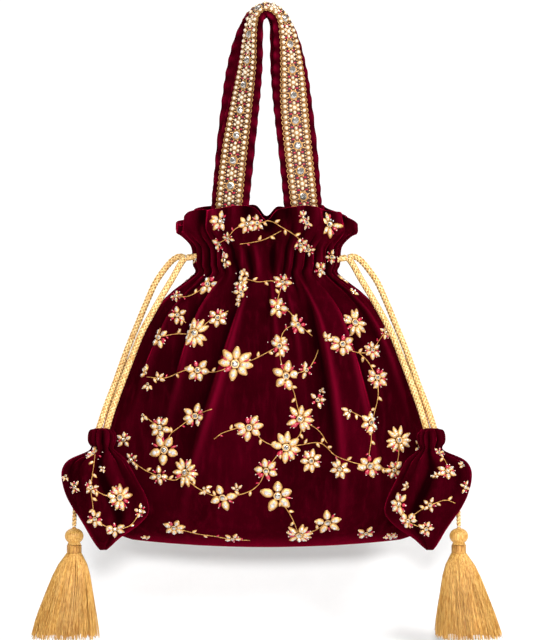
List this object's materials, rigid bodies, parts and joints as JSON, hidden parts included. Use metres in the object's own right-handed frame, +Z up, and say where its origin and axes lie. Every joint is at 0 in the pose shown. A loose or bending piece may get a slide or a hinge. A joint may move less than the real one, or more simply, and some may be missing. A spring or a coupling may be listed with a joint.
{
  "type": "potli bag",
  "caption": "Gathered drawstring pouch bag of embroidered velvet with jewelled handles, braided side cords, small hanging pouches and silk tassels.",
  "frame": {"origin": "the point under the crossed handles where the bag hangs from a hand or a hook", "axes": "+Z up, out of the hook; the front of the bag faces -Y; X across the bag"},
  "size_m": [0.3258, 0.1069, 0.441],
  "materials": {
    "velvet": "deep pile velvet",
    "lining_satin": "satin",
    "jewelled_trim": "gold thread with set pearls and stones",
    "gold_cord": "braided silk",
    "tassel_silk": "silk strands"
  },
  "bodies": {
    "bag": {"bag_shell": "velvet", "lining": "lining_satin", "handle_front_strap": "velvet", "handle_front_trim": "jewelled_trim", "handle_back_strap": "velvet", "handle_back_trim": "jewelled_trim", "drawstring_left": "gold_cord", "drawstring_right": "gold_cord"},
    "cords_left": {"cord_left_outer": "gold_cord", "cord_left_inner": "gold_cord"},
    "small_pouch_left": {"pouch_left": "velvet"},
    "tassel_string_left": {"tassel_left_string": "tassel_silk"},
    "tassel_left": {"tassel_left_head": "gold_cord", "tassel_left_collar": "jewelled_trim", "tassel_left_skirt": "tassel_silk"},
    "cords_right": {"cord_right_outer": "gold_cord", "cord_right_inner": "gold_cord"},
    "small_pouch_right": {"pouch_right": "velvet"},
    "tassel_string_right": {"tassel_right_string": "tassel_silk"},
    "tassel_right": {"tassel_right_head": "gold_cord", "tassel_right_collar": "jewelled_trim", "tassel_right_skirt": "tassel_silk"}
  },
  "joints": [
    {"name": "cords_left_swing", "type": "hinge", "parent": "bag", "child": "cords_left", "pos_m": [-0.057, 0, -0.165], "axis": [0, 1, 0], "range_deg": [0, 40]},
    {"name": "small_pouch_left_lift", "type": "hinge", "parent": "cords_left", "child": "small_pouch_left", "pos_m": [-0.1138, -0.037, -0.293], "axis": [-1, 0, 0], "range_deg": [0, 35]},
    {"name": "tassel_string_left_swing", "type": "hinge", "parent": "small_pouch_left", "child": "tassel_string_left", "pos_m": [-0.13243, -0.03574, -0.338], "axis": [0, 1, 0], "range_deg": [0, 40]},
    {"name": "tassel_left_nod", "type": "hinge", "parent": "tassel_string_left", "child": "tassel_left", "pos_m": [-0.13293, -0.03574, -0.3506], "axis": [-1, 0, 0], "range_deg": [-30, 30]},
    {"name": "cords_right_swing", "type": "hinge", "parent": "bag", "child": "cords_right", "pos_m": [0.057, 0, -0.165], "axis": [0, -1, 0], "range_deg": [0, 40]},
    {"name": "small_pouch_right_lift", "type": "hinge", "parent": "cords_right", "child": "small_pouch_right", "pos_m": [0.1138, -0.037, -0.293], "axis": [-1, 0, 0], "range_deg": [0, 35]},
    {"name": "tassel_string_right_swing", "type": "hinge", "parent": "small_pouch_right", "child": "tassel_string_right", "pos_m": [0.13243, -0.03574, -0.338], "axis": [0, -1, 0], "range_deg": [0, 40]},
    {"name": "tassel_right_nod", "type": "hinge", "parent": "tassel_string_right", "child": "tassel_right", "pos_m": [0.13293, -0.03574, -0.3506], "axis": [-1, 0, 0], "range_deg": [-30, 30]}
  ]
}
